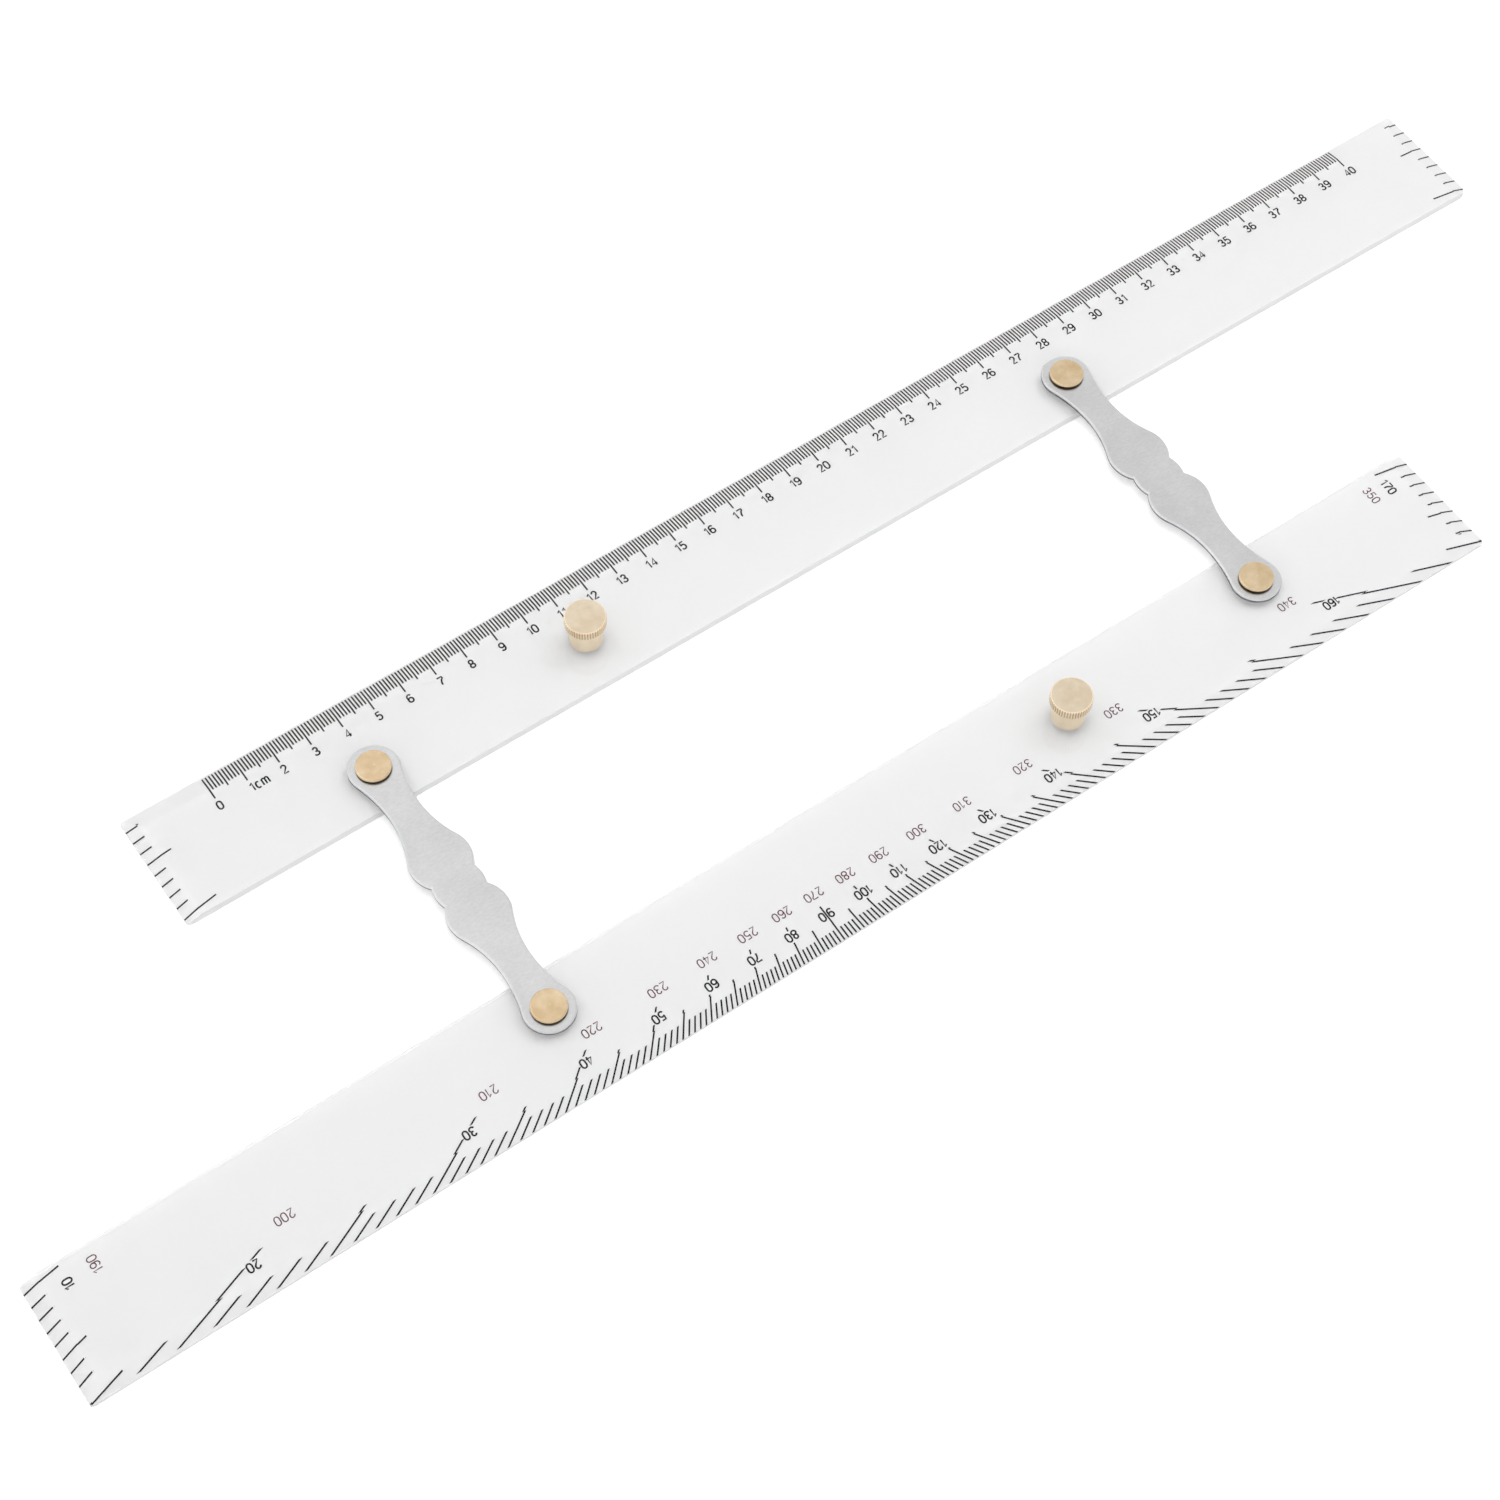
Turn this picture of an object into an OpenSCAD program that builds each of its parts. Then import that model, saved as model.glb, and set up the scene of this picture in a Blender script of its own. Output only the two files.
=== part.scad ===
// Parallel rule: two clear bevelled bars joined by two shaped link arms on riveted pins,
// with a knurled knob on each bar. Drawn wide open, with the arms square to the bars.
// The scale bar lies on the +Y side and the protractor bar on the -Y side; both rest on Z = 0.

/* [Bars] */
// Length of each bar
bar_len = 450; // [440:5:520]
// Width of each bar
bar_w = 37.2; // [34:0.2:48]
// Thickness of the clear sheet
bar_t = 3; // [2.8:0.1:4]
// Thickness left at the thin outer edges
edge_t = 1; // [0.6:0.1:1.4]
// Width of the bevel along the drawing edge
edge_bevel_w = 5.5; // [3:0.5:8]
// Width of the bevel at each end
end_bevel_w = 4.8; // [3:0.2:8]
// Width of the small chamfer along the inner edge
inner_chamfer_w = 0.6; // [0.3:0.1:2]
// Depth of the small chamfer along the inner edge
inner_chamfer_h = 0.4; // [0.2:0.1:1]
// Radius of the bar corners
corner_r = 1.2; // [0.6:0.1:2]
// Radius of the one well rounded corner of the scale bar
round_corner_r = 3; // [1.5:0.1:4]

/* [Linkage] */
// Distance between the two pins of an arm
link_len = 87; // [80:0.5:96]
// Distance of every pin from the inner edge of its bar
pivot_inset = 11.5; // [10:0.1:14]
// Distance of the nearer pin from the end of its bar
pivot_near = 64.4; // [50:0.2:80]

/* [Link arms] */
// Thickness of an arm
link_t = 1.4; // [1:0.1:2]
// Diameter of the round arm ends
link_end_d = 14.7; // [13.5:0.1:17]
// Width of the arm at its necks
link_neck_w = 9.6; // [8.4:0.1:10.4]
// Distance of each neck from its pin
link_neck_from_pin = 15.7; // [14.5:0.1:17]
// Radius of the hollow between a neck and its lobe
link_waist_r = 32.5; // [28:0.5:38]
// Width of the arm across its lobes
link_lobe_w = 17.8; // [16.8:0.1:19]
// Radius of each lobe
link_lobe_r = 10; // [9:0.1:11]
// Width of the arm across its middle bead
link_bead_w = 14.5; // [14:0.1:15]
// Radius of the middle bead
link_bead_r = 10; // [8:0.5:14]
// Radius of the rounded top edge of an arm
link_round_r = 0.55; // [0.3:0.05:0.6]
// Chamfer round the underside of an arm
link_chamfer = 0.15; // [0.1:0.05:0.3]

/* [Pivots] */
// Diameter of the pin shank
pin_d = 4; // [3.4:0.1:4.6]
// Diameter of the pin head
pin_head_d = 10; // [9:0.1:11]
// Height of the pin head
pin_head_h = 1; // [0.8:0.1:1.4]
// Radius of the rounded top edge of the pin head
pin_head_round_r = 0.4; // [0.2:0.05:0.5]
// Chamfer on the lower edge of the pin head
pin_head_chamfer = 0.2; // [0.1:0.05:0.25]
// Diameter of the shoulder that lifts the head off the arm
pin_shoulder_d = 8.4; // [7:0.1:8.6]
// Height of the shoulder
pin_shoulder_h = 0.3; // [0.2:0.05:0.4]
// Diameter of the turning mark in the middle of the head
pin_dimple_d = 0.8; // [0.4:0.1:1.4]
// Depth of the turning mark
pin_dimple_h = 0.2; // [0.1:0.05:0.4]
// Diameter of the peened tail of the pin
pin_tail_d = 5.6; // [5:0.1:6]
// Height of the peened cone of the tail
pin_tail_h = 0.6; // [0.4:0.05:0.7]
// Diameter of the spacer washer under the arm
spacer_d = 11; // [9:0.1:13]
// Thickness of the spacer washer
spacer_t = 0.4; // [0.3:0.1:1]
// Diameter of the rove that the tail is peened over
rove_d = 8; // [7:0.1:9]
// Thickness of the rove
rove_t = 0.9; // [0.8:0.05:1.1]

/* [Knobs] */
// Distance of each knob from the end of its bar
knob_along = 135.4; // [110:0.1:160]
// Distance of the scale bar's knob from the inner edge
scale_knob_inset = 15.2; // [12:0.1:22]
// Distance of the protractor bar's knob from the inner edge
protractor_knob_inset = 16.6; // [12:0.1:22]
// Height of a knob above its bar
knob_h = 10.9; // [9:0.1:14]
// Diameter of the knurled rim
knob_rim_d = 12; // [10.5:0.1:14]
// Height of the knurled rim
knob_rim_h = 3.4; // [2:0.1:4]
// Number of knurl ridges
knob_ridges = 48; // [24:2:60]
// Depth of the knurl
knob_knurl_h = 0.25; // [0.1:0.05:0.4]
// Chamfer on the edges of the rim
knob_rim_chamfer = 0.45; // [0.3:0.05:0.7]
// Diameter of the smooth collar
knob_collar_d = 9.9; // [8:0.1:10]
// Chamfer at the foot of the collar
knob_foot_chamfer = 0.3; // [0.1:0.05:0.5]
// Diameter of the knob screw
screw_d = 3; // [2.5:0.1:3.5]
// Diameter of the countersunk screw head
screw_head_d = 6; // [5:0.1:6.6]
// Height of the countersunk cone of the head
screw_head_h = 1.5; // [1.2:0.05:1.7]
// Length of thread held in the knob
screw_grip = 6; // [4:0.1:6.6]
// Width of the driver slot
slot_w = 0.8; // [0.5:0.1:1]
// Depth of the driver slot
slot_h = 0.6; // [0.3:0.05:0.8]

/* [Fits] */
// Radial clearance of an arm or a washer on its pin
run_fit = 0.05; // [0.03:0.01:0.1]
// Clearance between a fixed piece and the hole that it fills
seat_fit = 0.04; // [0.02:0.01:0.06]
// Play above and below an arm
end_float = 0.05; // [0.03:0.01:0.1]
// How far pins and screws stay above the underside
recess = 0.15; // [0.1:0.05:0.3]

/* [Hidden] */
$fn = 64;
// Overrun of every cut
over = 1;
// Segments of each arc of an arm's quarter outline, from the bead to the round end
bead_steps = 4;
lobe_steps = 14;
waist_steps = 8;
end_steps = 14;
corner_steps = 6;
// Segments of the rounded edges of arms and pin heads
round_steps = 4;

// When the rule is shut, the ends of the bars line up: that sets the run of the far pins
shut_run = sqrt(link_len ^ 2 - (2 * pivot_inset) ^ 2);
pivot_pitch = bar_len - 2 * pivot_near - shut_run;

// Heights of the stack at a pivot, from the underside up
rove_seat_z = recess + rove_t;
spacer_z = bar_t;
link_z = bar_t + spacer_t + end_float;
head_z = link_z + link_t + end_float;

link_half = link_len / 2;
link_end_r = link_end_d / 2;
neck_half = link_neck_w / 2;
neck_x = link_half - link_neck_from_pin;
waist_c = [neck_x, neck_half + link_waist_r];
lobe_y = link_lobe_w / 2 - link_lobe_r;
lobe_c = [neck_x - sqrt((link_waist_r + link_lobe_r) ^ 2 - (waist_c.y - lobe_y) ^ 2), lobe_y];
bead_c = [0, link_bead_w / 2 - link_bead_r];
end_c = [link_half, 0];
// The hollow between a neck and the round end touches both
shoulder_r = (link_neck_from_pin ^ 2 + neck_half ^ 2 - link_end_r ^ 2) / (2 * (link_end_r - neck_half));
shoulder_c = [neck_x, neck_half + shoulder_r];

function bearing(from, to) = atan2(to.y - from.y, to.x - from.x);

function arc(c, r, a0, a1, steps) =
    [for (i = [0:steps]) let (a = a0 + (a1 - a0) * i / steps) c + r * [cos(a), sin(a)]];

function tail_of(points) = [for (i = [1:len(points) - 1]) points[i]];

// Where two circles cross, on the left of the line from a to b
function crossing(a, ra, b, rb) =
    let (d = norm(b - a), u = (b - a) / d, s = (d ^ 2 + ra ^ 2 - rb ^ 2) / (2 * d), h = sqrt(ra ^ 2 - s ^ 2))
    a + s * u + h * [-u.y, u.x];

// A quarter of the arm's outline, drawn in by a margin, from the bead to the round end
function link_quarter(margin) =
    let (
        cusp = crossing(bead_c, link_bead_r - margin, lobe_c, link_lobe_r - margin),
        bead = arc(bead_c, link_bead_r - margin, 90, bearing(bead_c, cusp), bead_steps),
        lobe = arc(lobe_c, link_lobe_r - margin, bearing(lobe_c, cusp), bearing(lobe_c, waist_c), lobe_steps),
        waist = arc(waist_c, link_waist_r + margin, bearing(waist_c, lobe_c), -90, waist_steps),
        shoulder = arc(shoulder_c, shoulder_r + margin, -90, bearing(shoulder_c, end_c), waist_steps),
        tip = arc(end_c, link_end_r - margin, bearing(end_c, shoulder_c), 0, end_steps)
    )
    concat(bead, tail_of(lobe), tail_of(waist), tail_of(shoulder), tail_of(tip));

// The whole outline, clockwise, as points at one height
function link_ring(margin, z) =
    let (q = link_quarter(margin), last = len(q) - 1)
    concat(
        [for (i = [0:last]) [q[i].x, q[i].y, z]],
        [for (i = [last - 1:-1:0]) [q[i].x, -q[i].y, z]],
        [for (i = [1:last]) [-q[i].x, -q[i].y, z]],
        [for (i = [last - 1:-1:1]) [-q[i].x, q[i].y, z]]
    );

// The flat inside a ring, in strips cut straight across it, with a triangle at each tip
function flat_strips(quarter, first, upward) = [
    for (half = [0, 1], i = [0:quarter - 1])
        let (
            start = 2 * quarter * half,
            end = start + 2 * quarter,
            strip = i == quarter - 1
                ? [start + i, start + i + 1, end - i]
                : [start + i, start + i + 1, end - i - 1, end - i],
            turned = upward ? strip : [for (k = [len(strip) - 1:-1:0]) strip[k]]
        )
        [for (k = turned) first + k % (4 * quarter)]
];

// A corner of a bar's outline: its place, the bearing where its arc starts, and its radius
function corner(place, start, r) =
    let (inward = [cos(start + 45), sin(start + 45)] * r * sqrt(2))
    arc(place - inward, r, start, start + 90, corner_steps);

// The bar in its own frame: the inner edge runs along Y = 0 and the drawing edge along Y = bar_w
module bar(knob_inset, inner_far_r) {
    outline = concat(
        corner([bar_len, bar_w], 0, corner_r),
        corner([0, bar_w], 90, corner_r),
        corner([0, 0], 180, corner_r),
        corner([bar_len, 0], 270, inner_far_r)
    );
    difference() {
        linear_extrude(bar_t) polygon(outline);
        // The bevel of the drawing edge, the bevels of both ends and the inner chamfer
        translate([0, bar_w, 0]) rotate(180) translate([-bar_len, 0, 0])
            edge_cut(bar_len, edge_bevel_w, bar_t - edge_t);
        rotate(-90) translate([-bar_w, 0, 0]) edge_cut(bar_w, end_bevel_w, bar_t - edge_t);
        translate([bar_len, 0, 0]) rotate(90) edge_cut(bar_w, end_bevel_w, bar_t - edge_t);
        edge_cut(bar_len, inner_chamfer_w, inner_chamfer_h);
        for (x = [pivot_near, pivot_near + pivot_pitch]) translate([x, pivot_inset, 0]) pivot_hole();
        translate([knob_along, knob_inset, 0]) screw_hole();
    }
}

// A wedge along X that takes the top off an edge at Y = 0, rising inwards
module edge_cut(length, width, depth) {
    slope = depth / width;
    translate([-over, 0, 0]) rotate([90, 0, 90]) linear_extrude(length + 2 * over)
        polygon([
            [-over, bar_t - depth - over * slope],
            [width + over, bar_t + over * slope],
            [-over, bar_t + over * slope]
        ]);
}

module pivot_hole() {
    translate([0, 0, -over]) cylinder(d = pin_d + 2 * run_fit, h = bar_t + 2 * over);
    translate([0, 0, -over]) cylinder(d = rove_d + 2 * seat_fit, h = rove_seat_z + over);
}

module screw_hole() {
    translate([0, 0, -over]) cylinder(d = screw_d + 2 * run_fit, h = bar_t + 2 * over);
    translate([0, 0, -over]) cylinder(d = screw_head_d + 2 * seat_fit, h = recess + over);
    translate([0, 0, recess])
        cylinder(d1 = screw_head_d + 2 * seat_fit, d2 = screw_d + 2 * seat_fit, h = screw_head_h);
}

module scale_bar() {
    color("whitesmoke", 0.5) bar(scale_knob_inset, round_corner_r);
}

module protractor_bar() {
    color("whitesmoke", 0.5) bar(protractor_knob_inset, corner_r);
}

// A link arm, centred, with its pins along X and its underside on Z = 0
module link_arm() {
    round_rings = [
        for (i = [0:round_steps])
            let (a = 90 * i / round_steps)
            each link_ring(link_round_r * (1 - cos(a)), link_t - link_round_r * (1 - sin(a)))
    ];
    rings = concat(link_ring(link_chamfer, 0), link_ring(0, link_chamfer), round_rings);
    bands = round_steps + 2;
    count = len(rings) / (bands + 1);
    walls = [
        for (band = [0:bands - 1], i = [0:count - 1])
            let (a = band * count + i, b = band * count + (i + 1) % count)
            [a, b, b + count, a + count]
    ];
    color("silver") difference() {
        polyhedron(
            points = rings,
            faces = concat(
                flat_strips(count / 4, 0, false),
                flat_strips(count / 4, bands * count, true),
                walls
            ),
            convexity = 6
        );
        for (x = [-link_half, link_half]) translate([x, 0, -over])
            cylinder(d = pin_d + 2 * run_fit, h = link_t + 2 * over);
    }
}

// A turned pin with a flat head on a narrower shoulder, its tail peened into the rove
module pivot_pin() {
    head_r = pin_head_d / 2;
    rim_z = head_z + pin_shoulder_h;
    head_top = rim_z + pin_head_h;
    edge_c = [head_r - pin_head_round_r, head_top - pin_head_round_r];
    color("burlywood") rotate_extrude() polygon(concat(
        [
            [0, recess],
            [pin_tail_d / 2, recess],
            [pin_d / 2, recess + pin_tail_h],
            [pin_d / 2, head_z],
            [pin_shoulder_d / 2, head_z],
            [pin_shoulder_d / 2, rim_z],
            [head_r - pin_head_chamfer, rim_z],
            [head_r, rim_z + pin_head_chamfer]
        ],
        arc(edge_c, pin_head_round_r, 0, 90, round_steps),
        [
            [pin_dimple_d / 2, head_top],
            [0, head_top - pin_dimple_h]
        ]
    ));
}

module spacer_washer() {
    color("white") translate([0, 0, spacer_z]) difference() {
        cylinder(d = spacer_d, h = spacer_t);
        translate([0, 0, -over]) cylinder(d = pin_d + 2 * run_fit, h = spacer_t + 2 * over);
    }
}

module rove() {
    hole_r = pin_d / 2 + seat_fit;
    color("goldenrod") rotate_extrude() polygon([
        [pin_tail_d / 2 + seat_fit, recess],
        [rove_d / 2, recess],
        [rove_d / 2, rove_seat_z],
        [hole_r, rove_seat_z],
        [hole_r, recess + pin_tail_h]
    ]);
}

module knob() {
    rim_z = knob_h - knob_rim_h;
    tip_r = knob_rim_d / 2;
    root_r = tip_r - knob_knurl_h;
    half_pitch = 180 / knob_ridges;
    star = [
        for (i = [0:2 * knob_ridges - 1])
            let (r = i % 2 == 0 ? tip_r : root_r) r * [cos(i * half_pitch), sin(i * half_pitch)]
    ];
    color("burlywood") translate([0, 0, bar_t]) difference() {
        union() {
            rotate_extrude() polygon([
                [0, 0],
                [knob_collar_d / 2 - knob_foot_chamfer, 0],
                [knob_collar_d / 2, knob_foot_chamfer],
                [knob_collar_d / 2, rim_z + knob_rim_h / 2],
                [0, rim_z + knob_rim_h / 2]
            ]);
            intersection() {
                translate([0, 0, rim_z]) linear_extrude(knob_rim_h) polygon(star);
                rotate_extrude() polygon([
                    [0, rim_z],
                    [tip_r - knob_rim_chamfer, rim_z],
                    [tip_r + over, rim_z + knob_rim_chamfer + over],
                    [tip_r + over, knob_h - knob_rim_chamfer - over],
                    [tip_r - knob_rim_chamfer, knob_h],
                    [0, knob_h]
                ]);
            }
        }
        translate([0, 0, -over]) cylinder(d = screw_d + 2 * seat_fit, h = screw_grip + recess + over);
    }
}

// A slotted countersunk screw that holds a knob from under its bar
module knob_screw() {
    color("goldenrod") difference() {
        rotate_extrude() polygon([
            [0, recess],
            [screw_head_d / 2, recess],
            [screw_d / 2, recess + screw_head_h],
            [screw_d / 2, bar_t + screw_grip],
            [0, bar_t + screw_grip]
        ]);
        translate([-screw_head_d, -slot_w / 2, recess - over]) cube([2 * screw_head_d, slot_w, slot_h + over]);
    }
}

// Puts the scale bar's frame in place; the protractor bar's is the same, turned half round
module on_scale_bar() {
    translate([-pivot_pitch / 2 - pivot_near, link_half - pivot_inset, 0]) children();
}

module on_protractor_bar() {
    rotate(180) on_scale_bar() children();
}

// Puts an arm or the pieces of a pivot in place: side is 1 on the right, across is 1 on the scale bar
module at_link(side) {
    translate([side * pivot_pitch / 2, 0, link_z]) rotate(90) children();
}

module at_pivot(side, across) {
    translate([side * pivot_pitch / 2, across * link_half, 0]) children();
}

on_scale_bar() scale_bar();
on_protractor_bar() protractor_bar();
at_link(-1) link_arm();  // left_link_arm
at_link(1) link_arm();  // right_link_arm
at_pivot(-1, 1) pivot_pin();  // scale_left_pivot_pin
at_pivot(1, 1) pivot_pin();  // scale_right_pivot_pin
at_pivot(-1, -1) pivot_pin();  // protractor_left_pivot_pin
at_pivot(1, -1) pivot_pin();  // protractor_right_pivot_pin
at_pivot(-1, 1) spacer_washer();  // scale_left_spacer_washer
at_pivot(1, 1) spacer_washer();  // scale_right_spacer_washer
at_pivot(-1, -1) spacer_washer();  // protractor_left_spacer_washer
at_pivot(1, -1) spacer_washer();  // protractor_right_spacer_washer
at_pivot(-1, 1) rove();  // scale_left_rove
at_pivot(1, 1) rove();  // scale_right_rove
at_pivot(-1, -1) rove();  // protractor_left_rove
at_pivot(1, -1) rove();  // protractor_right_rove
on_scale_bar() translate([knob_along, scale_knob_inset, 0]) knob();  // scale_knob
on_protractor_bar() translate([knob_along, protractor_knob_inset, 0]) knob();  // protractor_knob
on_scale_bar() translate([knob_along, scale_knob_inset, 0]) knob_screw();  // scale_knob_screw
on_protractor_bar() translate([knob_along, protractor_knob_inset, 0]) knob_screw();  // protractor_knob_screw
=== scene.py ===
import math

import bmesh
import bpy
from mathutils import Matrix, Vector


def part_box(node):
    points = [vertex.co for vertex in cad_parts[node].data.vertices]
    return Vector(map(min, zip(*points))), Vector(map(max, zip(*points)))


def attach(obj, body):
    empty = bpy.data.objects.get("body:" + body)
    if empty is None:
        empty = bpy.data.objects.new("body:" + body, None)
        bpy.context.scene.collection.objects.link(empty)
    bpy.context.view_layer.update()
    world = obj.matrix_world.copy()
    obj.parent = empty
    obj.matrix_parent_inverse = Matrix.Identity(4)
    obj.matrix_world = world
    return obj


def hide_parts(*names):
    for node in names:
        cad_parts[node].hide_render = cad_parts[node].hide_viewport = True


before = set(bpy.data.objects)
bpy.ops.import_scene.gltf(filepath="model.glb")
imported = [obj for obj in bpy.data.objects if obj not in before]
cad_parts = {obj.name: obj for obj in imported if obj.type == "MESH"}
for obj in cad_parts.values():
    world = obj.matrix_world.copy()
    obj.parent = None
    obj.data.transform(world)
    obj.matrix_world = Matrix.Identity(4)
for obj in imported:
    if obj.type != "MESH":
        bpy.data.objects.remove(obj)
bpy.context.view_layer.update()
mm = 0.001
print("frame loaded,", len(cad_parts), "solids")

collection = bpy.context.scene.collection


# camera first: the photograph was taken from the near left, looking down on the rule

shot = {
    "place": (-284.6, -351.4, 717.8),     # mm
    "turn": (30.823, -0.961, -34.887),    # degrees
    "lens": 73.34,
    "sensor": 36.0,
    "nearest": 0.01,                      # metres
}

cameraData = bpy.data.cameras.new("camera")
cameraData.lens = shot["lens"]
cameraData.sensor_width = shot["sensor"]
cameraData.sensor_fit = "HORIZONTAL"
cameraData.clip_start = shot["nearest"]
camera = bpy.data.objects.new("camera", cameraData)
camera.location = Vector(shot["place"]) * mm
camera.rotation_euler = [math.radians(a) for a in shot["turn"]]
collection.objects.link(camera)
bpy.context.scene.camera = camera


# small helpers for node materials

def newMaterial(name, **sockets):
    material = bpy.data.materials.new(name)
    material.use_nodes = True
    shader = material.node_tree.nodes["Principled BSDF"]
    for socket, value in sockets.items():
        shader.inputs[socket.replace("_", " ")].default_value = value
    return material, material.node_tree, shader


def addNode(tree, kind, links=None, **settings):
    node = tree.nodes.new(kind)
    for name, value in settings.items():
        if name in node.inputs.keys():
            node.inputs[name].default_value = value
        else:
            setattr(node, name, value)
    for socket, source in (links or {}).items():
        tree.links.new(source, node.inputs[socket])
    return node


def noise(tree, scale, detail, stretch=(1, 1, 1), turn=0):        # turn in degrees, about Z
    coords = addNode(tree, "ShaderNodeTexCoord")
    mapping = addNode(tree, "ShaderNodeMapping", {"Vector": coords.outputs["Object"]})
    mapping.inputs["Scale"].default_value = stretch
    mapping.inputs["Rotation"].default_value = (0, 0, math.radians(turn))
    cloud = addNode(
        tree, "ShaderNodeTexNoise", {"Vector": mapping.outputs["Vector"]}, Scale=scale, Detail=detail,
    )
    return cloud.outputs["Fac"]


def combine(tree, operation, first, second):
    return addNode(tree, "ShaderNodeMath", {0: first, 1: second}, operation=operation).outputs[0]


def spread(tree, value, low, high, start=0.0, end=1.0):
    scaled = addNode(tree, "ShaderNodeMapRange", {"Value": value})
    scaled.inputs["From Min"].default_value = start
    scaled.inputs["From Max"].default_value = end
    scaled.inputs["To Min"].default_value = low
    scaled.inputs["To Max"].default_value = high
    return scaled.outputs["Result"]


def blendColours(tree, factor, first, second):
    ramp = addNode(tree, "ShaderNodeValToRGB", {"Fac": factor})
    ramp.color_ramp.elements[0].color = (*first, 1)
    ramp.color_ramp.elements[1].color = (*second, 1)
    return ramp.outputs["Color"]


def roughen(tree, shader, height, strength, distance):
    bump = addNode(tree, "ShaderNodeBump", {"Height": height}, Strength=strength, Distance=distance)
    tree.links.new(bump.outputs["Normal"], shader.inputs["Normal"])


def fromScreen(r, g, b):      # a colour as seen on a screen, 0 to 255, made linear
    return tuple(((c / 255 + 0.055) / 1.055) ** 2.4 for c in (r, g, b))


# materials

acrylic = {
    "tint": (0.93, 0.93, 0.93),
    "underneath": (0.835, 0.835, 0.835),      # of the light that leaves through the underside
    "ior": 1.49,
    "gloss": 0.25,
    "roughness": 0.01,
    "scratches": {"scale": 10.0, "detail": 3.0, "stretch": (3, 160, 3), "turn": 12},
    "scratchDepth": (0.02, 0.0001),           # strength, and height in metres
    "edgeColour": (0.84, 0.84, 0.84),
    "edgeClear": 0.15,                        # how clear a milled wall is from outside
    "edgeRoughness": (0.45, 0.6),
    "edgeLeak": 0.6,                          # share of the light inside that a wall lets straight out
    "toolMarks": {"scale": 1.0, "detail": 3.0, "stretch": (4, 4, 900)},
}


def letOut(tree, shader, share, colour):
    # that share of the light inside a bar leaves it straight on
    within = addNode(tree, "ShaderNodeNewGeometry").outputs["Backfacing"]
    clear = addNode(tree, "ShaderNodeBsdfTransparent")
    clear.inputs["Color"].default_value = (*colour, 1)
    mixed = addNode(tree, "ShaderNodeMixShader", {
        0: spread(tree, within, 0.0, share), 1: shader.outputs[0], 2: clear.outputs[0]})
    tree.links.new(mixed.outputs[0], tree.nodes["Material Output"].inputs["Surface"])


def makeAcrylic(name, resting=False):        # resting: the face that lies on the sheet below
    material, tree, shader = newMaterial(
        name, Base_Color=(*acrylic["tint"], 1), Roughness=acrylic["roughness"],
        IOR=acrylic["ior"], Transmission_Weight=1.0, Specular_IOR_Level=acrylic["gloss"],
    )
    roughen(tree, shader, noise(tree, **acrylic["scratches"]), *acrylic["scratchDepth"])
    if resting:
        letOut(tree, shader, 1.0, acrylic["underneath"])
    return material


def makeCutEdge():        # the walls of the bars are milled: matte from outside, clear from within
    material, tree, shader = newMaterial("milledAcrylic", IOR=acrylic["ior"])
    within = addNode(tree, "ShaderNodeNewGeometry").outputs["Backfacing"]
    colour = blendColours(tree, within, acrylic["edgeColour"], acrylic["tint"])
    tree.links.new(colour, shader.inputs["Base Color"])
    clearness = spread(tree, within, acrylic["edgeClear"], 1.0)
    tree.links.new(clearness, shader.inputs["Transmission Weight"])
    matte = spread(tree, noise(tree, **acrylic["toolMarks"]), *acrylic["edgeRoughness"])
    roughness = combine(tree, "MULTIPLY", matte, spread(tree, within, 1.0, 0.0))
    tree.links.new(roughness, shader.inputs["Roughness"])
    letOut(tree, shader, acrylic["edgeLeak"], acrylic["tint"])
    return material


armMetal = {
    "pale": (234, 234, 235),
    "deep": (217, 217, 218),
    "roughness": (0.26, 0.36),
    "brushing": {"scale": 1.0, "detail": 4.0, "stretch": (40, 1400, 40), "turn": 28},
    "clouds": {"scale": 70.0, "detail": 3.0},
    "grain": {"scale": 900.0, "detail": 4.0, "stretch": (1, 2, 1), "turn": 28},
    "mottling": (0.65, 1.35),         # where the sum of clouds and grain is deep, and where pale
    "brushDepth": (0.12, 0.00002),    # strength, and height in metres
}


def makeArmMetal():
    material, tree, shader = newMaterial("satinMetal", Metallic=1.0)
    brushed = noise(tree, **armMetal["brushing"])
    mottled = combine(tree, "ADD", noise(tree, **armMetal["clouds"]), noise(tree, **armMetal["grain"]))
    colour = blendColours(
        tree, spread(tree, mottled, 0.0, 1.0, *armMetal["mottling"]),
        fromScreen(*armMetal["deep"]), fromScreen(*armMetal["pale"])
    )
    tree.links.new(colour, shader.inputs["Base Color"])
    tree.links.new(spread(tree, brushed, *armMetal["roughness"]), shader.inputs["Roughness"])
    roughen(tree, shader, brushed, *armMetal["brushDepth"])
    return material


# the other metals: colours as seen on a screen; paintedGrooveShade is the painted shade in the grooves
# of a knurl
metalLooks = {
    "pinBrass": {"pale": (246, 222, 186), "deep": (226, 198, 156), "roughness": (0.18, 0.28)},
    "knobBrass": {
        "pale": (248, 233, 208), "deep": (236, 217, 188), "roughness": (0.16, 0.26),
        # painted shade: the darker colour below is put in the grooves of the knurl
        "paintedGrooveShade": (196, 168, 126),
    },
    "paleBevelBrass": {
        "pale": (250, 232, 208), "deep": (242, 220, 194), "roughness": (0.5, 0.6),
        "metallic": 0.45,
    },
    # painted shade: the dark colour of an arm's lower wall stands for the shade along its lower edge;
    # the roughness is that of the stamping
    "shearedAndShadedMetal": {"pale": (150, 150, 153), "deep": (112, 112, 115), "roughness": (0.5, 0.7)},
    # painted shade: near-black brass in the gap under a pin's head, where there is only shade
    "paintedGapShade": {"pale": (36, 29, 19), "deep": (24, 19, 12), "roughness": (0.5, 0.7)},
    "fixingBrass": {"pale": (222, 190, 132), "deep": (206, 172, 112), "roughness": (0.3, 0.45)},
}
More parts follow.
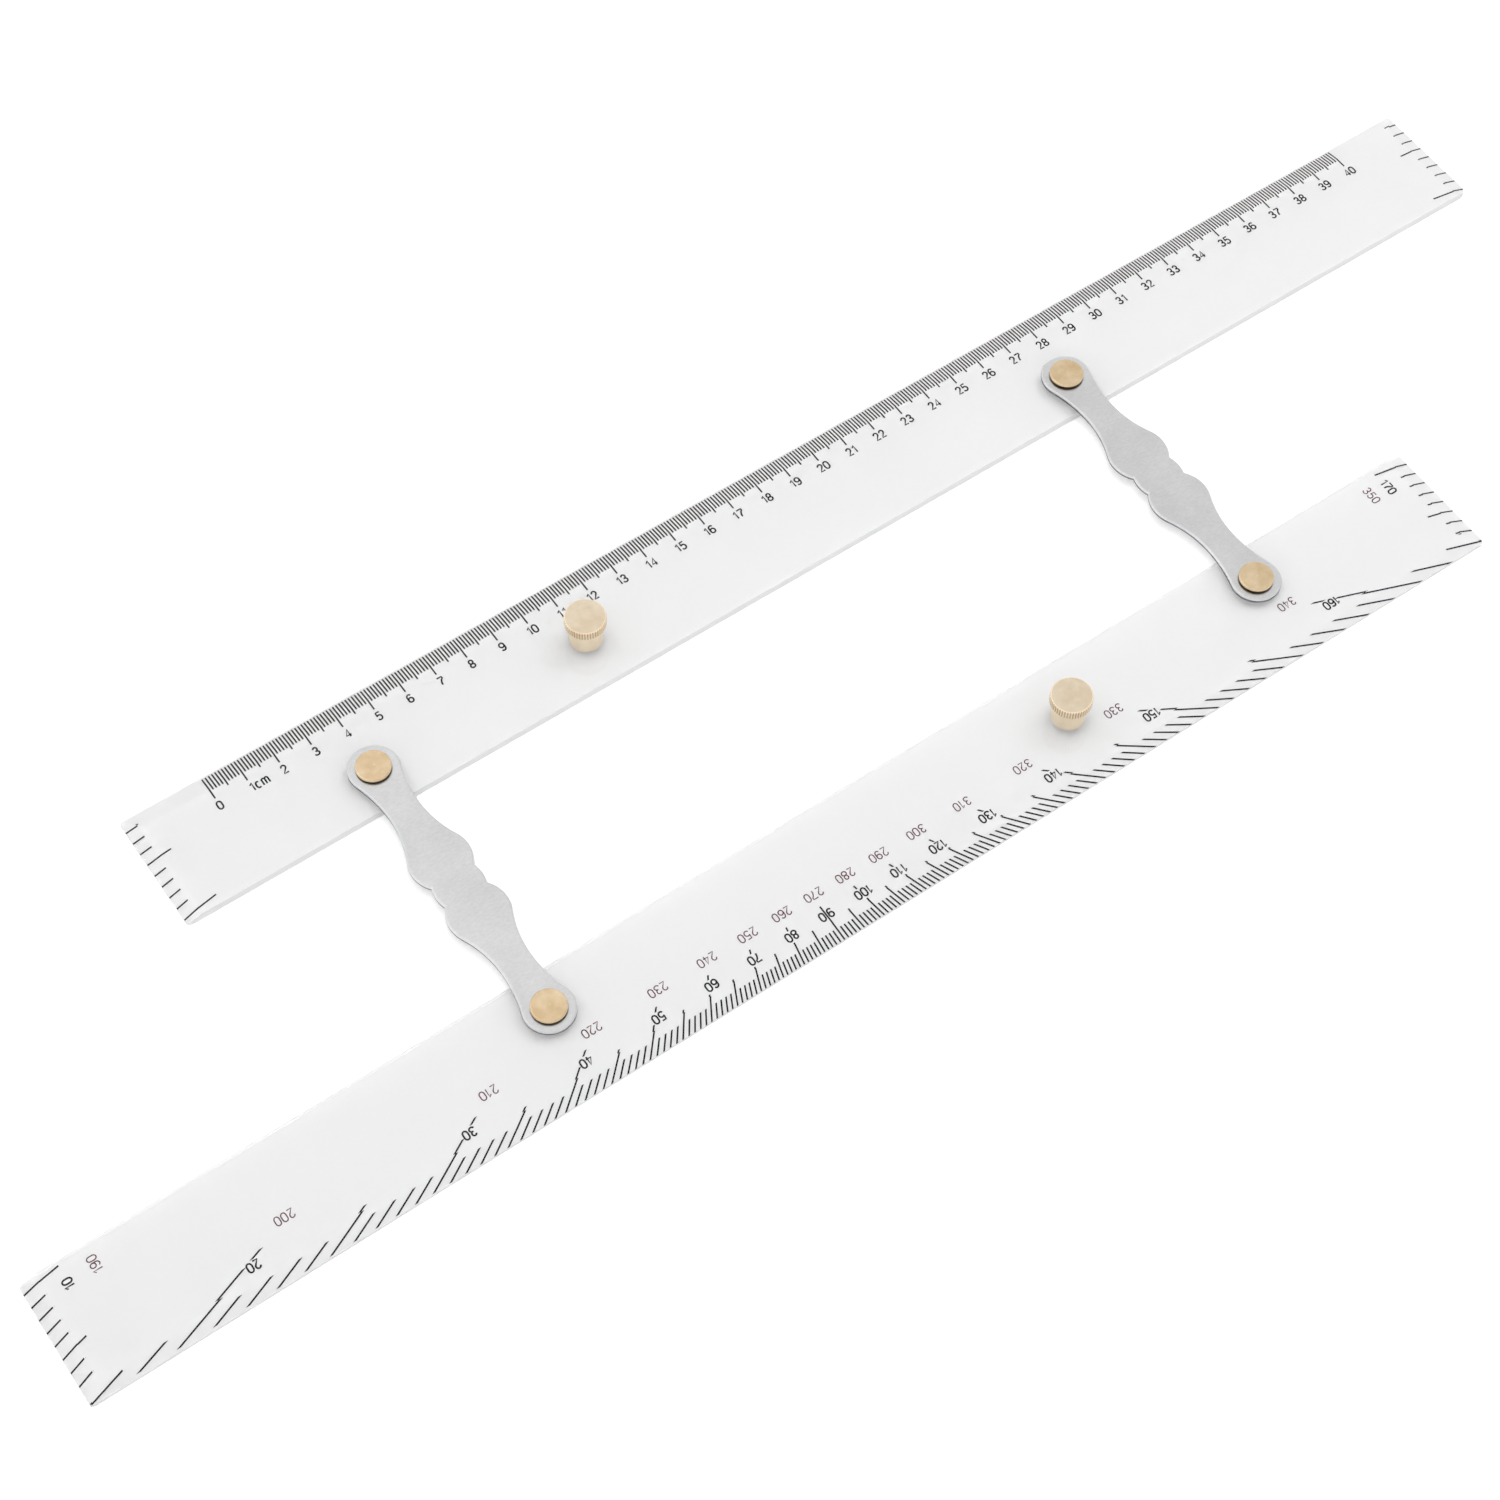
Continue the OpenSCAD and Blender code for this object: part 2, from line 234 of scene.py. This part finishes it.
turned = {
    "clouds": {"scale": 260.0, "detail": 4.0},
    "grain": {"scale": 2600.0, "detail": 2.0},
    "speckling": (0.3, 0.7),        # where the clouds are deep, and where pale
    "depth": (0.1, 0.00002),
}


def makeMetal(name, pale, deep, roughness, paintedGrooveShade=None, metallic=1.0):
    material, tree, shader = newMaterial(name, Metallic=metallic)
    cloudy = noise(tree, **turned["clouds"])
    speckled = spread(tree, cloudy, 0.0, 1.0, *turned["speckling"])
    colour = blendColours(tree, speckled, fromScreen(*deep), fromScreen(*pale))
    if paintedGrooveShade:        # where the piece's own groove attribute is 1, the grooves of the knurl get painted shade
        groove = addNode(tree, "ShaderNodeAttribute", attribute_name="groove").outputs["Fac"]
        mixed = addNode(tree, "ShaderNodeMixRGB", {"Fac": groove, "Color1": colour})
        mixed.inputs["Color2"].default_value = (*fromScreen(*paintedGrooveShade), 1)
        colour = mixed.outputs["Color"]
    tree.links.new(colour, shader.inputs["Base Color"])
    fine = noise(tree, **turned["grain"])
    tree.links.new(spread(tree, fine, *roughness), shader.inputs["Roughness"])
    roughen(tree, shader, cloudy, *turned["depth"])
    return material


inks = {
    "black": (0.002, 0.002, 0.003),
    "red": (0.15, 0.006, 0.035),
    "fading": 0.012,
    "roughness": 0.7,
    "density": {"scale": 900.0, "detail": 3.0},
}


def makeInk(name, colour):
    material, tree, shader = newMaterial(name, Roughness=inks["roughness"], Specular_IOR_Level=0.0)
    faded = tuple(c + inks["fading"] for c in colour)
    mixed = blendColours(tree, noise(tree, **inks["density"]), colour, faded)
    tree.links.new(mixed, shader.inputs["Base Color"])
    return material


washers = {
    "deep": (0.72, 0.72, 0.69),
    "pale": (0.80, 0.80, 0.78),
    "roughness": 0.5,
    "mottling": {"scale": 500.0, "detail": 2.0},
}


def makeNylon():
    material, tree, shader = newMaterial("naturalNylon", Roughness=washers["roughness"])
    mottled = noise(tree, **washers["mottling"])
    colour = blendColours(tree, mottled, washers["deep"], washers["pale"])
    tree.links.new(colour, shader.inputs["Base Color"])
    return material


clearAcrylic = makeAcrylic("clearAcrylic")
restingAcrylic = makeAcrylic("restingAcrylic", resting=True)
milledAcrylic = makeCutEdge()
satinMetal = makeArmMetal()
metals = {name: makeMetal(name, **look) for name, look in metalLooks.items()}
nylon = makeNylon()
blackInk = makeInk("blackInk", inks["black"])
redInk = makeInk("redInk", inks["red"])
print("materials made")

cadFinish = {}
for bar in ("scale", "protractor"):
    cadFinish[bar + "_bar"] = clearAcrylic
    cadFinish[bar + "_knob"] = metals["knobBrass"]
    cadFinish[bar + "_knob_screw"] = metals["fixingBrass"]
    for side in ("left", "right"):
        cadFinish[side + "_link_arm"] = satinMetal
        cadFinish[bar + "_" + side + "_pivot_pin"] = metals["pinBrass"]
        cadFinish[bar + "_" + side + "_spacer_washer"] = nylon
        cadFinish[bar + "_" + side + "_rove"] = metals["fixingBrass"]

for name, material in cadFinish.items():
    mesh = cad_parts[name].data
    mesh.materials.clear()
    mesh.materials.append(material)


# merged copies of the CAD solids: metal with soft normals over its rounded edges, and the clear bars

copies = {
    "merge": 1e-7,       # metres between points that become one
    "level": 0.3,        # degrees between faces that become one
    "sharp": 36,         # degrees from which an edge stays sharp
    "weight": 90,        # how far large faces rule the normals at their edges
    "flat": 0.9,         # a face whose normal rises more than this is a top or a bottom of metal
    "wall": 0.3,         # and less than this, a wall of a bar
}


def mergedMesh(node):
    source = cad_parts[node]
    bm = bmesh.new()
    bm.from_mesh(source.data)
    bm.transform(source.matrix_world)
    bmesh.ops.remove_doubles(bm, verts=bm.verts, dist=copies["merge"])
    bmesh.ops.recalc_face_normals(bm, faces=bm.faces)
    return bm


def addCopy(bm, name, materials, node, body):        # it stands in for the node
    mesh = bpy.data.meshes.new(node)
    bm.to_mesh(mesh)
    bm.free()
    for material in materials:
        mesh.materials.append(material)
    piece = bpy.data.objects.new(name, mesh)
    collection.objects.link(piece)
    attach(piece, body)
    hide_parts(node)
    return piece


knurl = {
    "tip": 6.0 * mm,           # radius on the ridges
    "root": 5.75 * mm,         # and in the grooves
    "from": 0.1 * mm,          # below the knob's top
    "to": 3.5 * mm,
    "slack": 0.02 * mm,
}


def markGrooves(bm, node):
    # 1 at the bottom of a knob's knurl, 0 on its ridges and everywhere else; it places the painted
    # shade in the grooves
    low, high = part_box(node)
    middle = (low + high) / 2
    layer = bm.verts.layers.float.new("groove")
    for vert in bm.verts:
        radius = math.hypot(vert.co.x - middle.x, vert.co.y - middle.y)
        onRim = knurl["from"] < high.z - vert.co.z < knurl["to"]
        if onRim and radius > knurl["root"] - knurl["slack"]:
            depth = (knurl["tip"] - radius) / (knurl["tip"] - knurl["root"])
            vert[layer] = min(1.0, max(0.0, depth))


def softCopy(node, body, second, band, paintedGrooveShade=False):
    # walls whose middle lies in the band of heights get the second material
    bm = mergedMesh(node)
    limit = math.radians(copies["level"])
    bmesh.ops.dissolve_limit(bm, angle_limit=limit, verts=bm.verts, edges=bm.edges)
    bmesh.ops.bisect_plane(
        bm, geom=bm.verts[:] + bm.edges[:] + bm.faces[:], dist=1e-6,
        plane_co=(0, 0, band[1]), plane_no=(0, 0, 1),
    )
    bmesh.ops.recalc_face_normals(bm, faces=bm.faces)
    for face in bm.faces:
        face.smooth = True
        inBand = band[0] < face.calc_center_median().z < band[1]
        if inBand and abs(face.normal.z) < copies["flat"]:
            face.material_index = 1
    for edge in bm.edges:
        edge.smooth = edge.calc_face_angle(0.0) < math.radians(copies["sharp"])
    if paintedGrooveShade:
        markGrooves(bm, node)
    piece = addCopy(bm, node + "Soft", (cadFinish[node], second), node, body)
    weighted = piece.modifiers.new("weighted", "WEIGHTED_NORMAL")
    weighted.keep_sharp = True
    weighted.weight = copies["weight"]


def barCopy(node, body):        # the clear bar with its milled walls
    bm = mergedMesh(node)
    for face in bm.faces:
        face.smooth = False
        wall = abs(face.normal.z) < copies["wall"]
        face.material_index = 1 if wall else 2 if face.normal.z < 0 else 0
    skins = (clearAcrylic, milledAcrylic, restingAcrylic)
    addCopy(bm, node + "Clear", skins, node, body)


bandHeights = {
    "shadedShearFrom": 0.01 * mm,        # the lower part of an arm's wall, rough from the stamping and painted dark as shade along its lower edge, above the arm's underside
    "shadedShearTo": 0.9 * mm,           # above the arm's underside
    "gapIntoArm": 0.02 * mm,         # the gap under a pin's head, painted near-black as shade, from just inside the arm
    "gapBelowHead": 0.62 * mm,       # to this far below the head's top
    "knobBevel": 0.46 * mm,          # the bevel round a knob's top, in a paler, less metallic brass
}

armLow, armTop = (corner.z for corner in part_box("left_link_arm"))
shadedShear = (armLow + bandHeights["shadedShearFrom"], armLow + bandHeights["shadedShearTo"])
for side in ("left", "right"):
    # the lower band of an arm's wall is painted dark as shade
    softCopy(side + "_link_arm", side + "_arm", metals["shearedAndShadedMetal"], shadedShear)
for bar in ("scale", "protractor"):
    body = bar + "_side"
    barCopy(bar + "_bar", body)
    for side in ("left", "right"):
        pin = bar + "_" + side + "_pivot_pin"
        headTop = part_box(pin)[1].z
        gap = (armTop - bandHeights["gapIntoArm"], headTop - bandHeights["gapBelowHead"])
        # the gap under a pin's head is painted near-black as shade
        softCopy(pin, body, metals["paintedGapShade"], gap)
    knob = bar + "_knob"
    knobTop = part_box(knob)[1].z
    bevel = (knobTop - bandHeights["knobBevel"], knobTop + mm)
    # the knurl's grooves get painted shade; the bevel round the top is a paler brass
    softCopy(knob, body, metals["paleBevelBrass"], bevel, paintedGrooveShade=True)
print("bars and metal dressed")


# printing on the undersides, seen through the clear bars
# every bar has a sheet of its own, in mm: x from its left end, y from its outer edge, negative inwards

printing = {
    "low": 0.02,           # the ink lies this far inside the underside
    "high": 0.06,
    "line": 0.45,          # width of a printed line
}

# numerals are drawn with a round pen: centre lines in a cell 0.6 wide and 1 high
cell = {"width": 0.60, "gap": 0.07, "pen": 0.081, "redPen": 0.053, "arcStep": 20}


def sheetOf(node):
    low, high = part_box(node)
    if high.y > 0:         # the scale bar: its outer edge is the far one
        return Matrix.Translation((low.x, high.y, 0))
    return Matrix.Translation((high.x, low.y, 0)) @ Matrix.Rotation(math.pi, 4, "Z")


class Print:               # one printed colour of one bar
    def __init__(self, node, pen=cell["pen"]):
        self.sheet = sheetOf(node)
        self.pen = pen
        self.bm = bmesh.new()

    def line(self, start, end, along=None):
        # a flat bar from start to end; its ends are cut parallel to along
        start, end = Vector(start), Vector(end)
        run = end - start
        across = Vector((-run.y, run.x)).normalized() * printing["line"]
        if along is not None:
            along = Vector(along).normalized()
            across = along * (printing["line"] / abs(along.dot(across.normalized())))
        middle = (start + end) / 2
        height = printing["high"] - printing["low"]
        place = Matrix((
            (run.x, across.x, 0, middle.x),
            (run.y, across.y, 0, middle.y),
            (0, 0, height, (printing["high"] + printing["low"]) / 2),
            (0, 0, 0, 1),
        ))
        bmesh.ops.create_cube(self.bm, size=1, matrix=place)

    def write(self, text, centre, height, turn=0.0):
        mesh = numeralMesh(text, height, self.pen)
        place = Matrix.Translation((*centre, 0)) @ Matrix.Rotation(math.radians(turn), 4, "Z")
        mesh.transform(place)
        self.bm.from_mesh(mesh)
        bpy.data.meshes.remove(mesh)

    def finish(self, name, body, material):
        bmesh.ops.transform(self.bm, matrix=Matrix.Scale(mm, 4), verts=self.bm.verts)
        bmesh.ops.transform(self.bm, matrix=self.sheet, verts=self.bm.verts)
        bmesh.ops.recalc_face_normals(self.bm, faces=self.bm.faces)
        mesh = bpy.data.meshes.new(name)
        self.bm.to_mesh(mesh)
        self.bm.free()
        mesh.materials.append(material)
        piece = bpy.data.objects.new(name, mesh)
        collection.objects.link(piece)
        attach(piece, body)


def curved(x, y, rx, ry, start, end):        # an arc round x, y, from one angle to another
    steps = max(3, round(abs(end - start) / cell["arcStep"]))
    angles = [math.radians(start + (end - start) * i / steps) for i in range(steps + 1)]
    return [(x + rx * math.cos(a), y + ry * math.sin(a)) for a in angles]


penStrokes = {
    "0": [
        curved(0.3, 0.66, 0.235, 0.275, 180, 0)
        + curved(0.3, 0.34, 0.235, 0.275, 0, -180) + [(0.065, 0.66)],
    ],
    "1": [[(0.12, 0.72), (0.33, 0.935), (0.33, 0.065)]],
    "2": [curved(0.29, 0.70, 0.215, 0.235, 175, -35) + [(0.075, 0.065), (0.53, 0.065)]],
    "3": [
        curved(0.28, 0.715, 0.195, 0.22, 165, -90) + [(0.22, 0.495)],
        [(0.22, 0.495)] + curved(0.28, 0.28, 0.24, 0.215, 90, -165),
    ],
    "4": [[(0.42, 0.065), (0.42, 0.935), (0.06, 0.29), (0.56, 0.29)]],
    "5": [
        [(0.50, 0.935), (0.14, 0.935), (0.105, 0.52)]
        + curved(0.285, 0.34, 0.24, 0.275, 140, -150),
    ],
    "6": [
        curved(0.3, 0.66, 0.235, 0.275, 35, 180)
        + [(0.065, 0.34)] + curved(0.3, 0.32, 0.235, 0.255, 180, 540),
    ],
    "7": [[(0.07, 0.935), (0.54, 0.935)] + curved(0.86, 0.10, 0.62, 0.76, 118, 182)],
    "8": [
        curved(0.3, 0.715, 0.195, 0.22, -90, 270),
        curved(0.3, 0.28, 0.235, 0.215, 90, 450),
    ],
    "9": [
        curved(0.3, 0.34, 0.235, 0.275, 215, 360)
        + [(0.535, 0.66)] + curved(0.3, 0.68, 0.235, 0.255, 0, 360),
    ],
    " ": [],
    "c": [curved(0.29, 0.415, 0.20, 0.35, 50, 310)],
    "m": [
        [(0.08, 0.065), (0.08, 0.765)],
        [(0.08, 0.55)] + curved(0.235, 0.605, 0.155, 0.16, 165, 0) + [(0.39, 0.065)],
        [(0.39, 0.55)] + curved(0.545, 0.605, 0.155, 0.16, 165, 0) + [(0.70, 0.065)],
    ],
}
cellWidths = {"1": 0.46, "m": 0.78, " ": 0.16}


def textWidth(text):          # for a height of 1
    return sum(cellWidths.get(c, cell["width"]) + cell["gap"] for c in text) - cell["gap"]


def numeralMesh(text, height, pen):      # a flat mesh in mm, centred on its own middle
    curve = bpy.data.curves.new("pen", "CURVE")
    curve.dimensions = "3D"
    curve.bevel_depth = pen
    curve.bevel_resolution = 1
    curve.use_fill_caps = True
    x = 0.0
    for character in text:
        for stroke in penStrokes[character]:
            spline = curve.splines.new("POLY")
            spline.points.add(len(stroke) - 1)
            for point, (u, v) in zip(spline.points, stroke):
                point.co = (x + u, v, 0, 1)
        x += cellWidths.get(character, cell["width"]) + cell["gap"]
    written = bpy.data.objects.new("written", curve)
    collection.objects.link(written)
    bpy.context.view_layer.update()
    depsgraph = bpy.context.evaluated_depsgraph_get()
    mesh = bpy.data.meshes.new_from_object(written.evaluated_get(depsgraph))
    bpy.data.objects.remove(written)
    bpy.data.curves.remove(curve)
    flat = (printing["high"] - printing["low"]) / 2 / pen
    middle = (printing["high"] + printing["low"]) / 2
    mesh.transform(Matrix.Translation((-textWidth(text) / 2, -0.5, 0)))
    mesh.transform(Matrix.Diagonal((height, height, flat, 1)))
    mesh.transform(Matrix.Translation((0, 0, middle)))
    return mesh


barSize = (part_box("scale_bar")[1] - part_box("scale_bar")[0]) / mm
barLength, barWidth = barSize.x, barSize.y

# the centimetre scale along the outer edge of the far bar
scale = {
    "start": 25.1,                  # from the left end to the zero line
    "count": 400,                   # millimetres
    "from": 0.55,                   # the lines start this far from the edge
    "to": {1: 5.1, 5: 6.2, 10: 7.85},
    "numeralHeight": 2.95,
    "numeralMiddle": 10.4,
    "unit": "1cm",
}

# the protractor: its centre is about where the middle of the far bar's edge comes when the rule is shut
# depths are from the near bar's outer edge, and along is towards the sheet's right
dial = {
    "centreX": barLength / 2 + 0.55,
    "centreY": -74.0,
    "from": 0.05,
    "to": {1: 4.2, 5: 6.9, 10: 11.6},
    "gap": (6.7, 10.35),           # the long lines stop at a numeral and go on below it
    "clear": 0.35,                 # from a numeral's side to its line
    "numeralHeight": 2.9,
    "black": (8.6, 10.2),          # depth of a numeral's middle, and where the ray meets its foot
    "red": (15.45, 15.3),
    "aside": {30: 1.3, 100: -0.9, 110: -0.6, 160: -0.8},     # how far along a numeral is off its place
    "redAside": {200: 1.2, 210: 0.0, 220: 0.0, 230: 0.0, 240: -0.2, 340: -3.9},
    "redOthers": -0.7,
    # the print sits deeper towards its ends: u and its square times these, u being 1 at the reach
    "drift": (0.275, 0.575),
    "driftReach": 200,
    "driftMost": 0.42,
    "driftStarts": 1.4,            # the lines' starts follow so many times that, without a limit
    "first": 19,
    "last": 161,
}

# the ends carry the low angles, which the protractor's outer edge can't reach
ends = {
    "from": 0.05,
    "short": 4.1,
    "medium": 7.7,
    "long": 10.7,
    "shorter": 4.9,                # the short lines of the near bar
    "scaleCentreY": 0.5,           # of the far bar's lines
    "half": 218.7,                 # from the centre of the near bar's lines to its ends
    "centreY": (-73.06, -72.3),    # for its left end and its right end
    "outermost": 18,               # these lines come from the dial's own centre, but for this shift
    "outermostShift": (-1.0, 0.55),
    # from the end and from the inner edge; they stand upright to someone at that end
    "numerals": {170: (10.1, 6.9), 350: (16.1, 6.5), 10: (10.5, 6.4), 190: (18.3, 5.5)},
}


def stepOf(n):
    return 10 if n % 10 == 0 else 5 if n % 5 == 0 else 1


def printScale():
    ink = Print("scale_bar")
    size, depth = scale["numeralHeight"], -scale["numeralMiddle"]
    for n in range(scale["count"] + 1):
        x = scale["start"] + n
        ink.line((x, -scale["from"]), (x, -scale["to"][stepOf(n)]))
        if stepOf(n) == 10 and n != 10:
            ink.write(str(n // 10), (x, depth), size)
    shift = (textWidth(scale["unit"]) - cellWidths["1"]) / 2 * size        # its 1 is under the line
    ink.write(scale["unit"], (scale["start"] + 10 + shift, depth), size)
    ink.finish("centimetreScale", "scale_side", blackInk)


def endLine(ink, centreY, angle, reach, right, half=barLength / 2):
    # a line towards the centre, cut parallel to the bar's end
    slope = math.tan(math.radians(angle)) * (1 if centreY < 0 else -1)
    points = [(d, centreY + (half - d) * slope) for d in (ends["from"], reach)]
    if right:
        points = [(barLength - x, y) for x, y in points]
    ink.line(points[0], points[1], along=(0, 1))


def printScaleEnds():
    ink = Print("scale_bar")
    for angle in range(1, 10):
        reach = ends["long"] if angle == 9 else ends["medium"] if angle == 4 else ends["short"]
        for right in (False, True):
            endLine(ink, ends["scaleCentreY"], angle, reach, right)
    ink.finish("scaleEndAngles", "scale_side", blackInk)


def onDial(angle, depth):                 # a place on the ray at that angle, depth below the edge
    slope = math.tan(math.radians(angle))
    x = dial["centreX"] + (-depth - dial["centreY"]) / slope
    u = (x - barLength / 2) / dial["driftReach"]
    drift = u * (dial["drift"][0] + u * dial["drift"][1])
    if depth == dial["from"]:
        drift = max(0.0, dial["driftStarts"] * drift)
    else:
        drift = min(dial["driftMost"], drift)
    return Vector((x - drift / slope, -depth - drift))


def printDial():
    ink = Print("protractor_bar")
    red = Print("protractor_bar", cell["redPen"])
    size = dial["numeralHeight"]
    for angle in range(dial["first"], dial["last"] + 1):
        step = stepOf(angle)
        start, end = onDial(angle, dial["from"]), onDial(angle, dial["to"][step])
        if step != 10 or angle == 90:
            ink.line(start, end, along=(1, 0))
        if step != 10:
            continue
        middle, foot = dial["black"]
        shift = dial["aside"].get(angle, 0.0)
        text = "9 0" if angle == 90 else str(angle)        # its line runs on between the two
        ink.write(text, onDial(angle, foot) + Vector((shift, foot - middle)), size)
        if angle != 90:
            room = textWidth(text) * size / 2 + dial["clear"] + max(0.0, shift)
            beside = foot - room * abs(math.tan(math.radians(angle)))
            upper, lower = dial["gap"]
            ink.line(start, onDial(angle, max(upper, beside)), along=(1, 0))
            ink.line(onDial(angle, lower), end, along=(1, 0))
        middle, foot = dial["red"]
        shift = dial["redAside"].get(angle + 180, dial["redOthers"])
        red.write(str(angle + 180), onDial(angle, foot) + Vector((shift, foot - middle)), size)
    for right in (False, True):
        # in the sheet's own frame the left end of the rule is the right one
        half = barLength / 2 + ends["outermostShift"][1 if right else 0]
        endLine(ink, dial["centreY"], ends["outermost"], ends["long"], right, half)
        centreY = ends["centreY"][0 if right else 1]
        for angle in range(10, ends["outermost"]):
            reach = ends["long"] if angle == 10 else ends["medium"] if angle == 15 else ends["shorter"]
            endLine(ink, centreY, angle, reach, right, ends["half"])
    for number, (fromEnd, fromInner) in ends["numerals"].items():
        atStart = number in (170, 350)
        x = fromEnd if atStart else barLength - fromEnd
        colour = red if number > 180 else ink
        colour.write(str(number), (x, fromInner - barWidth), size, 90 if atStart else -90)
    ink.finish("protractorScale", "protractor_side", blackInk)
    red.finish("reciprocalNumerals", "protractor_side", redInk)


printScale()
printScaleEnds()
printDial()
print("printing done")


# floor, light and world

studio = {
    "floor": 0.86,
    "floorGlow": 0.27,
    "floorSize": 6,                  # metres from its middle to its edge
    "floorDrop": 0.08 * mm,          # below the bars' undersides
    "dome": (0.20, 0.86),            # strength away from and at the brightest place
    # the same as metal shows it, from the direction away from the top (0) to the top (1)
    "mirrored": {
        0.45: 0.68, 0.58: 0.95, 0.66: 1.0, 0.75: 0.62, 0.84: 0.81, 0.92: 0.90, 0.97: 1.0, 0.99: 1.4,
    },
    "domeTop": (-0.35, 0.35, 0.87),
    "keyPower": 19.0,
    "keySize": (2.4, 0.7),           # a long soft box above the rule
    "keyPlace": (0.5, 0.05, 1.5),
}


def makeFloor():
    bm = bmesh.new()
    bmesh.ops.create_grid(bm, x_segments=1, y_segments=1, size=studio["floorSize"])
    bmesh.ops.translate(bm, verts=bm.verts, vec=(0, 0, -studio["floorDrop"]))
    mesh = bpy.data.meshes.new("floor")
    bm.to_mesh(mesh)
    bm.free()
    material, tree, shader = newMaterial(
        "whitePaper", Base_Color=(studio["floor"],) * 3 + (1,), Roughness=0.9,
        Specular_IOR_Level=0.0, Emission_Color=(1, 1, 1, 1),
    )
    rays = addNode(tree, "ShaderNodeLightPath").outputs        # it glows white only where it is seen
    seen = combine(tree, "MAXIMUM", rays["Is Camera Ray"], rays["Is Glossy Ray"])
    seen = combine(tree, "MAXIMUM", seen, rays["Is Transmission Ray"])
    tree.links.new(spread(tree, seen, 0.0, studio["floorGlow"]), shader.inputs["Emission Strength"])
    mesh.materials.append(material)
    floor = bpy.data.objects.new("floor", mesh)
    collection.objects.link(floor)


def makeLight(name, place, size, power):        # it shines straight down
    data = bpy.data.lights.new(name, "AREA")
    data.shape = "RECTANGLE"
    data.size, data.size_y = size
    data.energy = power
    lamp = bpy.data.objects.new(name, data)
    lamp.location = place
    lamp.visible_glossy = False        # no glare in the bars: metal shows the dome alone
    collection.objects.link(lamp)


def makeWorld():        # an even dome, brighter high on the far side, before a white background
    world = bpy.data.worlds.new("studio")
    bpy.context.scene.world = world
    world.use_nodes = True
    tree = world.node_tree
    background = tree.nodes["Background"]
    coords = addNode(tree, "ShaderNodeTexCoord")
    toward = addNode(
        tree, "ShaderNodeVectorMath", {"Vector": coords.outputs["Generated"]}, operation="DOT_PRODUCT"
    )
    toward.inputs[1].default_value = Vector(studio["domeTop"]).normalized()
    place = spread(tree, toward.outputs["Value"], 0.0, 1.0, -1.0, 1.0)
    plain = spread(tree, place, *studio["dome"])
    ramp = addNode(tree, "ShaderNodeValToRGB", {"Fac": place})
    stops = sorted(studio["mirrored"].items())
    while len(ramp.color_ramp.elements) < len(stops):
        ramp.color_ramp.elements.new(1.0)
    for element, (position, level) in zip(ramp.color_ramp.elements, stops):
        element.position = position
        element.color = (level, level, level, 1)
    rays = addNode(tree, "ShaderNodeLightPath").outputs
    strength = addNode(tree, "ShaderNodeMapRange", {
        "Value": rays["Is Glossy Ray"], "To Min": plain, "To Max": ramp.outputs["Color"]})
    shown = combine(tree, "MAXIMUM", strength.outputs["Result"], rays["Is Camera Ray"])
    tree.links.new(shown, background.inputs["Strength"])
    background.inputs["Color"].default_value = (1, 1, 1, 1)


makeFloor()
makeWorld()
makeLight("key", studio["keyPlace"], studio["keySize"], studio["keyPower"])
bpy.context.scene.view_settings.view_transform = "Standard"
print("studio lit")
